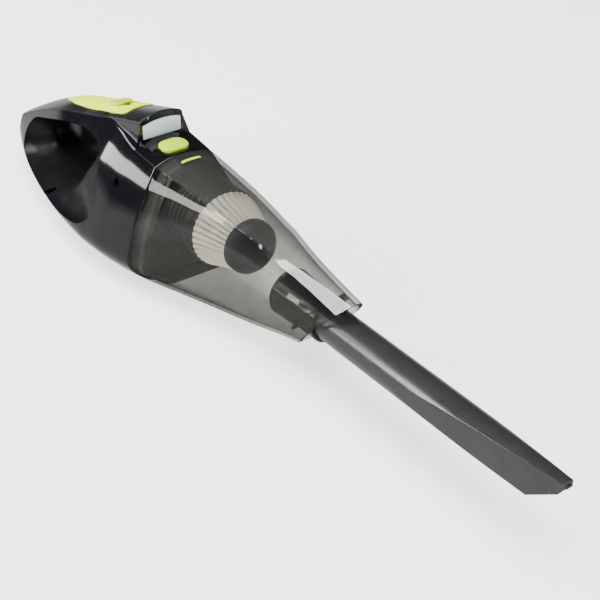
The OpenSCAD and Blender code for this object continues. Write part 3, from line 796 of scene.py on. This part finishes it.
def lens_outline(grow=0.0):
    arch = [(a * (LENS_HALF + grow), LENS_Z + LENS_H + grow + LENS_ARCH * (1 - a * a))
            for a in np.linspace(-1, 1, 25)]
    return rounded([(LENS_HALF + grow, LENS_Z - grow), (-LENS_HALF - grow, LENS_Z - grow)] + arch,
                   0.8, 3)


def on_grip(x, z):
    """A point given along and across the sloping grip, in the body's frame."""
    tilt = math.radians(SWITCH_TILT)
    return (SWITCH_AT[0] + x * math.cos(tilt) - z * math.sin(tilt),
            SWITCH_AT[1] + x * math.sin(tilt) + z * math.cos(tilt))


def switch_slot(name):
    corners = [on_grip(*p) for p in ((-3.5, -10), (8.5, -10), (8.5, 4), (-3.5, 4))]
    return extruded(name, corners, -2, 2, "y")


def grip_prism(name, grow=0.0):
    return extruded(name, hull_outline(GRIP_OUTLINE, (-28, 0), 180, grow), 40, 120, "z")


def build_shells():
    """Both housing halves, cut from one smooth body, with the finger hole right through."""
    body, skins = outer_body("body")
    hole = loft("hole", hole_rings())
    void = inner_body("void", SHELL)
    carve(void, loft("liner", hole_rings(HOLE_LINER)))
    for x, z, _ in SCREWS:
        carve(void, round_bar("boss", (x, -50, z), (x, 50, z), 4.2))
    carve(body, void)
    carve(body, hole, keep=True)
    carve(body, above("cover_cut", GRIP_LINE, COVER_DROP, -138, LAMP_X + 0.5))
    carve(body, above("deck_cut", EDGE_HEIGHT, DECK_DROP, LAMP_X + 0.05, SEAM_X + 2))
    carve(body, extruded("lens_cut", lens_outline(PARTING), LAMP_X - 8, LAMP_X + 5, "x"))
    carve(body, block("flat_cut", (-200, -70, -20), (100, 70, BELLY_FLAT)))
    for side in (-1, 1):
        for i in range(VENTS):
            x = 8 + VENT_PITCH * i
            carve(body, block("vent", (x, side * VENT_Y - 5, -1), (x + 2.2, side * VENT_Y + 5, 11)))
    hole_skin = Skin(hole_rings())
    for side, name in ((-1, "housing_right"), (1, "housing_left")):
        half = copy_of(body, name + "_shell")
        keep = sorted((side * PARTING / 2, side * 80))
        carve(half, block("keep", (-200, keep[0], -20), (120, keep[1], 140)), "INTERSECT")
        if side < 0:
            for x, z, depth in SCREWS:
                carve(half, round_bar("recess", (x, -60, z), (x, 2.2 - depth, z), 2.9))
                carve(half, round_bar("bore", (x, -depth - 1, z), (x, 13, z), 1.7))
        else:
            carve(half, round_bar("socket", (SOCKET[0], -1, SOCKET[1]),
                                  (SOCKET[0], 60, SOCKET[1]), 4.35))
        shade(half, skins + [hole_skin])
        piece(half, PIANO, "root", "shell", name)
        second_material(half, GRIP_BLACK, lambda spot: hole_skin.normal(spot)[1] < NEAR_SKIN * MM)
    remove(body)
    remove(hole)


def build_handle_cover():
    cover, skins = outer_body("handle_cover_shell")
    carve(cover, inner_body("void", 2.6))
    carve(cover, above("keep", GRIP_LINE, COVER_DROP - PARTING, -138 + PARTING, LAMP_X + 0.5),
          "INTERSECT")
    recess = grip_prism("recess", PARTING)
    floor, floor_skins = outer_body("floor", 1.1)
    carve(recess, floor)
    carve(cover, recess)
    carve(cover, switch_slot("slot"))
    carve(cover, extruded("lens_cut", lens_outline(PARTING), LAMP_X - 8, LAMP_X + 5, "x"))
    shade(cover, skins + floor_skins)
    piece(cover, SATIN, "root", "cover", "handle_cover")


def build_grip_pad():
    pad, skins = outer_body("grip_pad_skin", -0.6)
    floor, _ = outer_body("floor", 1.0)
    carve(pad, grip_prism("keep"), "INTERSECT")
    carve(pad, floor)
    carve(pad, switch_slot("slot"))
    shade(pad, skins)
    piece(pad, LIME_SOFT, "root", "lime", "grip_pad")


def rounded_box_outline(width, depth, corner, count=12):
    """Outline of a rectangle with round corners, centred on the origin."""
    points = []
    for quarter, (sx, sy) in enumerate(((1, 1), (-1, 1), (-1, -1), (1, -1))):
        for u in np.linspace(0, math.pi / 2, count):
            a = u + quarter * math.pi / 2
            points.append((sx * (width / 2 - corner) + corner * math.cos(a),
                           sy * (depth / 2 - corner) + corner * math.sin(a)))
    return np.array(points)


def button_ring(z, inset=0.0):
    outline = rounded_box_outline(BUTTON_SIZE[0] - 2 * inset, BUTTON_SIZE[1] - 2 * inset,
                                  BUTTON_CORNER - inset)
    return np.column_stack([outline[:, 0] + BUTTON_X, outline[:, 1], np.full(len(outline), z)])


def build_deck_cover():
    """Cover between the lamp and the bin, with a shallow dish round the button."""
    rings = body_rings([LAMP_X + PARTING] + spaced(46, SEAM_X - 1.2, 0.8) + SEAM_ROUND)
    for ring in rings:
        away = np.hypot((ring[:, 0] - BUTTON_X) / 12.0, ring[:, 1] / 14.0)
        dish = np.clip((1 - away) / 0.3, 0, 1)
        ring[:, 2] -= 0.4 * dish * dish * (3 - 2 * dish) * (ring[:, 2] > 80)
    deck = loft("deck_cover_shell", rings)
    carve(deck, loft("void", body_rings(spaced(40, SEAM_X + 1, 3.0), SHELL + 0.6)))
    carve(deck, above("keep", EDGE_HEIGHT, DECK_DROP - PARTING, LAMP_X + 0.05, SEAM_X + 1),
          "INTERSECT")
    carve(deck, loft("well", [button_ring(60, -BUTTON_GAP), button_ring(120, -BUTTON_GAP)]))
    shade(deck, [Skin(rings)])
    piece(deck, PIANO, "root", "cover", "deck_cover")


def build_button():
    """Domed release button with a soft edge, on its stem."""
    rings = [button_ring(84.4, 0.9), button_ring(84.4, 0.05), button_ring(88.6, 0)]
    for a in np.linspace(0, 90, 7)[1:]:
        inset = 1.3 * (1 - math.cos(math.radians(a)))
        rings.append(button_ring(88.6 + 1.0 * math.sin(math.radians(a)), inset))
    for u in np.linspace(0, 1, 7)[1:]:
        rings.append(button_ring(89.6 + 0.35 * (1 - (1 - u) ** 2), 1.3 + 4.6 * u))
    button = loft("release_button_cap", rings)
    shade(button, [Skin(rings[2:])])
    piece(button, LIME, "release", "lime", "release_button")


def build_lens():
    levels = ((LAMP_X - 2.2, 0.0), (LAMP_X - 0.7, 0.0), (LAMP_X - 0.35, -0.12),
              (LAMP_X - 0.2, -0.4))
    rings = []
    for x, grow in levels:
        outline = lens_outline(grow)
        rings.append(np.column_stack([np.full(len(outline), x), outline]))
    lens = loft("lamp_lens_frosted", rings)
    soften(lens, 50)
    piece(lens, LENS, "root", "lens", "lamp_lens")


# ---------------------------------------------------------------- the bin and what it holds

def mouth_cutter(name, back=0.0):
    """Everything ahead of the bin's slanted mouth, moved back by back."""
    tilt = math.radians(MOUTH_TILT)
    down = np.array((-math.sin(tilt), -math.cos(tilt)))
    ahead = np.array((math.cos(tilt), -math.sin(tilt)))
    top = np.array((MOUTH_TOP[0] - back, MOUTH_TOP[1]))
    corners = [top - down * 60, top + down * 120, top + down * 120 + ahead * 90,
               top - down * 60 + ahead * 90]
    return extruded(name, corners, -80, 80, "y")


BIN_START = [(SEAM_X + PARTING, 0.5), (SEAM_X + 0.45, 0.2), (SEAM_X + 0.8, 0.05)]
BIN_RUN = spaced(SEAM_X + 1.4, 251, 2.2)


def mark_prism(name, grow=0.0):
    outline = rounded_box_outline(MARK_SIZE[0] + 2 * grow, MARK_SIZE[1] + 2 * grow, 1.0 + grow, 6)
    return extruded(name, outline + (MARK_X + MARK_SIZE[0] / 2, 0), 70, 95, "z")


def build_bin():
    outer = body_rings(BIN_START + BIN_RUN)
    inner = body_rings([SEAM_X - 1] + BIN_RUN + [252.5], BIN_WALL)
    clear = loft("dust_bin_clear", outer)
    inside = loft("inside", inner)
    wall = loft("wall", body_rings(spaced(205, 251, 2.2), BIN_WALL / 2))
    carve(wall, mouth_cutter("front", 11))
    rear = mouth_cutter("rear", 13.5)
    carve(wall, rear, "INTERSECT")
    carve(inside, wall)
    carve(clear, inside)
    carve(clear, mouth_cutter("mouth"))
    carve(clear, round_bar("duct_bore", (190, 0, NOZZLE_Z), (262, 0, NOZZLE_Z),
                           DUCT_BORE))
    for low, high in (((61.5, -6, 80.9), (74.5, 6, 82.9)), ((61.5, -6, 80.5), (63.5, 6, 81.5)),
                      ((SEAM_X + 0.5, -6, 81), (SEAM_X + 4, 6, 86.4))):
        carve(clear, block("tongue", low, high), "UNION")
    recess = mark_prism("recess", 0.12)
    carve(recess, loft("floor", body_rings(spaced(74, 84, 1.0), 0.8)))
    carve(clear, recess)
    skins = [Skin(outer), Skin(inner)]
    shade(clear, skins)
    piece(clear, CLEAR, "bin", "bin_clear", "dust_bin")
    second_material(clear, CLEAR_INSIDE, lambda spot: skins[0].normal(spot)[1] > 0.3 * MM)

    mark_rings = body_rings(spaced(74, 84, 0.5))
    mark = loft("bin_mark_bar", mark_rings)
    carve(mark, mark_prism("keep"), "INTERSECT")
    carve(mark, loft("floor", body_rings(spaced(72, 86, 1.0), 0.7)))
    shade(mark, [Skin(mark_rings)])
    piece(mark, LIME, "bin", "lime", "bin_mark")


def build_bulkhead():
    """Plate that closes the housing, with the collar that the bin slides over."""
    plate = loft("front_bulkhead_moulded", body_rings(
        [65.8, SEAM_X - 0.3, (SEAM_X + 0.02, BIN_WALL - SHELL)] + spaced(72, 83, 2) + [(84, 0.2)],
        SHELL + 0.35))
    hollow = loft("hollow", body_rings(spaced(SEAM_X - 0.1, 86, 2), BIN_WALL + 2))
    carve(plate, hollow)
    carve(plate, round_bar("opening", (60, 0, MOTOR_Z), (76, 0, MOTOR_Z), 22))
    carve(plate, block("latch_gap", (60, -6.8, 79.8), (100, 6.8, 100)))
    soften(plate)
    piece(plate, MATT, "root", "inner_black", "front_bulkhead")


def fan_vents(housing, start, end, radius):
    """Shallow grooves round the fan housing."""
    for x in np.linspace(start, end, 5):
        groove = lathe("groove", [(radius - 0.6, x), (radius + 1, x), (radius + 1, x + 1.2),
                                  (radius - 0.6, x + 1.2)], MOTOR_Z, 0.05)
        carve(housing, groove)


def build_fan_housing():
    low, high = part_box("fan_housing")
    radius = (high.y - low.y) / 2 / MM
    rear, front = low.x / MM, high.x / MM
    step = front - 3.6
    housing = lathe("fan_housing_turned", [
        (radius - 2, rear), (radius, rear), (radius, step), (19, step), (19, front),
        (17.5, front), (17.5, step - 2), (radius - 2, step - 2)], MOTOR_Z, 0.8)
    fan_vents(housing, rear + 18, step - 8, radius)
    soften(housing)
    piece(housing, MATT, "root", "inner_black", "fan_housing")


def build_filter():
    low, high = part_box("filter_base")
    rear, front, radius = low.x / MM, high.x / MM, (high.y - low.y) / 2 / MM
    base = lathe("filter_base_ring", [(19.15, rear), (radius, rear), (radius, front),
                                      (17.6, front), (17.6, front - 0.4), (19.15, front - 0.4)],
                 MOTOR_Z, 0.5)
    soften(base)
    piece(base, MATT, "filter", "inner_black", "filter_base")

    low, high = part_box("filter_pleats")
    start, end = low.x / MM, high.x / MM
    mouth = (high.y - low.y) / 2 / MM
    per_pleat = 10
    count = PLEATS * per_pleat
    turn = np.linspace(0, 2 * np.pi, count, endpoint=False)
    phase = np.arange(count) % per_pleat / per_pleat
    fold = 0.5 + 0.5 * np.cos(2 * np.pi * phase)
    rings = []
    for u in np.linspace(0, 1, 12):
        outer = mouth + (PLEAT_FRONT - mouth) * u
        flare = 0.12 * np.sin(turn * 7 + 3 * u) * math.sin(math.pi * u)
        radius = outer - PLEAT_DEPTH * min(1.0, 0.2 + 4 * u) * (1 - fold) + flare - 0.12
        rings.append(np.column_stack([np.full(count, start + (end - start) * u),
                                      radius * np.cos(turn), MOTOR_Z + radius * np.sin(turn)]))
    for u in np.linspace(1, 0, 4):
        radius = 20.5 + (14 - 20.5) * u
        rings.append(np.column_stack([np.full(count, start + (end - start) * u),
                                      radius * np.cos(turn), MOTOR_Z + radius * np.sin(turn)]))
    pleats = new_mesh("filter_pleats_paper", np.vstack(rings),
                      grid_faces(len(rings), count, wrap_rows=True))
    soften(pleats, 60)
    piece(pleats, PAPER, "filter", "pleats", "filter_pleats")

    low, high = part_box("filter_cap")
    rear, front, radius = low.x / MM, high.x / MM, (high.y - low.y) / 2 / MM
    dome = [(radius * math.cos(a) ** 0.8, rear + 4 + (front - rear - 4) * math.sin(a))
            for a in np.linspace(0, math.pi / 2, 24)[:-1]]
    cap = lathe("filter_cap_dome", [(0.01, rear), (radius - 0.2, rear), (radius, rear + 0.4)]
                + dome + [(0.01, front)], MOTOR_Z, 0.15)
    soften(cap, 40)
    piece(cap, SLATE, "filter", "inner_black", "filter_cap")


def build_duct():
    low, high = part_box("inlet_duct")
    rear, front = low.x / MM, high.x / MM
    bore = TOOL_R + 0.08
    duct = lathe("inlet_duct_moulded", [
        (bore, rear), (15.4, rear), (15.4, rear + 1.6), (14.9, rear + 2.0), (14.6, rear + 14),
        (13.6, rear + 24), (13.6, front), (bore, front)], NOZZLE_Z, 0.6)
    soften(duct, 30)
    piece(duct, DUCT, "bin", "duct", "inlet_duct")


def tool_ring(x, inset=0.0):
    """Ring of the crevice tool: a circle with a flat on each side that closes in to the tip."""
    radius = TOOL_R - inset
    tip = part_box("crevice_tool")[1].x / MM
    share = max(0.0, (x - TOOL_FLAT_X) / (tip - TOOL_FLAT_X))
    half = min(radius - 0.01, TOOL_R - (TOOL_R - TIP_HALF) * share - inset)
    corner = math.acos(half / radius)
    arc = np.linspace(corner, math.pi - corner, 40)
    flat = np.linspace(1, -1, 12)[1:-1] * radius * math.sin(corner)
    top = np.column_stack([radius * np.cos(arc), radius * np.sin(arc)])
    left = np.column_stack([np.full(10, -half), flat])
    line = np.vstack([top, left, -top, -left])
    return np.column_stack([np.full(len(line), x), line[:, 0], line[:, 1] + NOZZLE_Z])


def build_tool():
    low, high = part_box("crevice_tool")
    rear, tip = low.x / MM, high.x / MM
    stations = [rear] + spaced(rear + 3, TOOL_FLAT_X - 1, 8)
    stations += [TOOL_FLAT_X + (tip - TOOL_FLAT_X) * u * u for u in np.linspace(0, 1, 44)]
    rings = [tool_ring(x) for x in stations]
    tool = loft("crevice_tool_moulded", rings)
    carve(tool, loft("bore", [tool_ring(x, TOOL_WALL) for x in [rear - 5] + stations[1:-1]
                              + [tip + 2]]))
    carve(tool, extruded("tip_cut", [(tip + x, NOZZLE_Z + z) for x, z in TIP_CUT], -30, 30, "y"))
    shade(tool, [Skin(rings)])
    piece(tool, CHARCOAL, "tool", "tool", "crevice_tool")


# ---------------------------------------------------------------- the stage

def make_camera():
    """Long lens from the front right and above, as a product picture is taken."""
    target = Vector((153.75, 29.5, 10.6)) * MM
    back = Vector((0.690, -0.483, 0.538)).normalized()
    data = bpy.data.cameras.new("camera")
    data.lens = 93.7
    data.sensor_width = 36.0
    camera = bpy.data.objects.new("camera", data)
    bpy.context.scene.collection.objects.link(camera)
    turn = (-back).to_track_quat("-Z", "Y").to_matrix().to_4x4()
    roll = Matrix.Rotation(math.radians(-0.49), 4, "Z")
    camera.matrix_world = Matrix.Translation(target + back * 0.975) @ turn @ roll
    bpy.context.scene.camera = camera


def area_light(name, place, target, width, height, power, colour=(1, 1, 1), roll=0.0):
    data = bpy.data.lights.new(name, "AREA")
    data.shape = "RECTANGLE"
    data.size = width
    data.size_y = height
    data.energy = power
    data.color = colour
    light = bpy.data.objects.new(name, data)
    bpy.context.scene.collection.objects.link(light)
    light.location = place
    aim = (Vector(target) - Vector(place)).to_track_quat("-Z", "Y").to_matrix()
    light.rotation_euler = (aim @ Matrix.Rotation(math.radians(roll), 3, "Z")).to_euler()
    return light


def toward(azimuth, elevation, distance=LIGHT_AWAY):
    """Point at a distance from the middle of the body, in a direction given in degrees."""
    a, e = math.radians(azimuth), math.radians(elevation)
    x, y, z = STAGE_MIDDLE
    return (x + distance * math.cos(e) * math.cos(a), y + distance * math.cos(e) * math.sin(a),
            z + distance * math.sin(e))


def studio_background(tree):
    """Dark room above the horizon, and below it the grey that shiny faces pick up."""
    place = tree.nodes.new("ShaderNodeTexCoord")
    axes = tree.nodes.new("ShaderNodeSeparateXYZ")
    tree.links.new(place.outputs["Generated"], axes.inputs[0])
    level = tree.nodes.new("ShaderNodeMapRange")
    for key, value in (("From Min", -0.02), ("From Max", 0.03), ("To Min", FLOOR_LEVEL),
                       ("To Max", ROOM_LEVEL)):
        level.inputs[key].default_value = value
    tree.links.new(axes.outputs["Z"], level.inputs["Value"])
    background = tree.nodes["Background"]
    background.inputs["Color"].default_value = (1.0, 1.0, 1.0, 1)
    tree.links.new(level.outputs["Result"], background.inputs["Strength"])


def make_stage():
    reach = FLOOR_REACH
    floor = new_mesh("floor", [(-reach, -reach, 0), (reach, -reach, 0), (reach, reach, 0),
                               (-reach, reach, 0)], [(0, 1, 2, 3)])
    floor.data.materials.append(floor_material("floor_pale"))
    floor.visible_glossy = False
    world = bpy.data.worlds.new("studio")
    bpy.context.scene.world = world
    world.use_nodes = True
    studio_background(world.node_tree)
    area_light("overhead", (0.5, -0.4, 2.6), (0.15, 0.0, 0.0), 2.0, 2.0, 170)
    area_light("side_strip", toward(-138, 8.5), STAGE_MIDDLE, 0.74, 0.075, 2.9,
               (1.0, 0.97, 0.93), 17)
    area_light("nozzle_panel", toward(-119, 25), STAGE_MIDDLE, 0.32, 0.50, 20)
    area_light("rear_panel", toward(-150, 33), STAGE_MIDDLE, 0.60, 0.26, 6,
               (1, 1, 1), -12)


def main():
    make_camera()
    make_stage()
    finish_cad_nodes()
    build_shells()
    build_handle_cover()
    build_grip_pad()
    build_deck_cover()
    build_button()
    build_lens()
    build_bin()
    build_bulkhead()
    build_fan_housing()
    build_filter()
    build_duct()
    build_tool()


main()
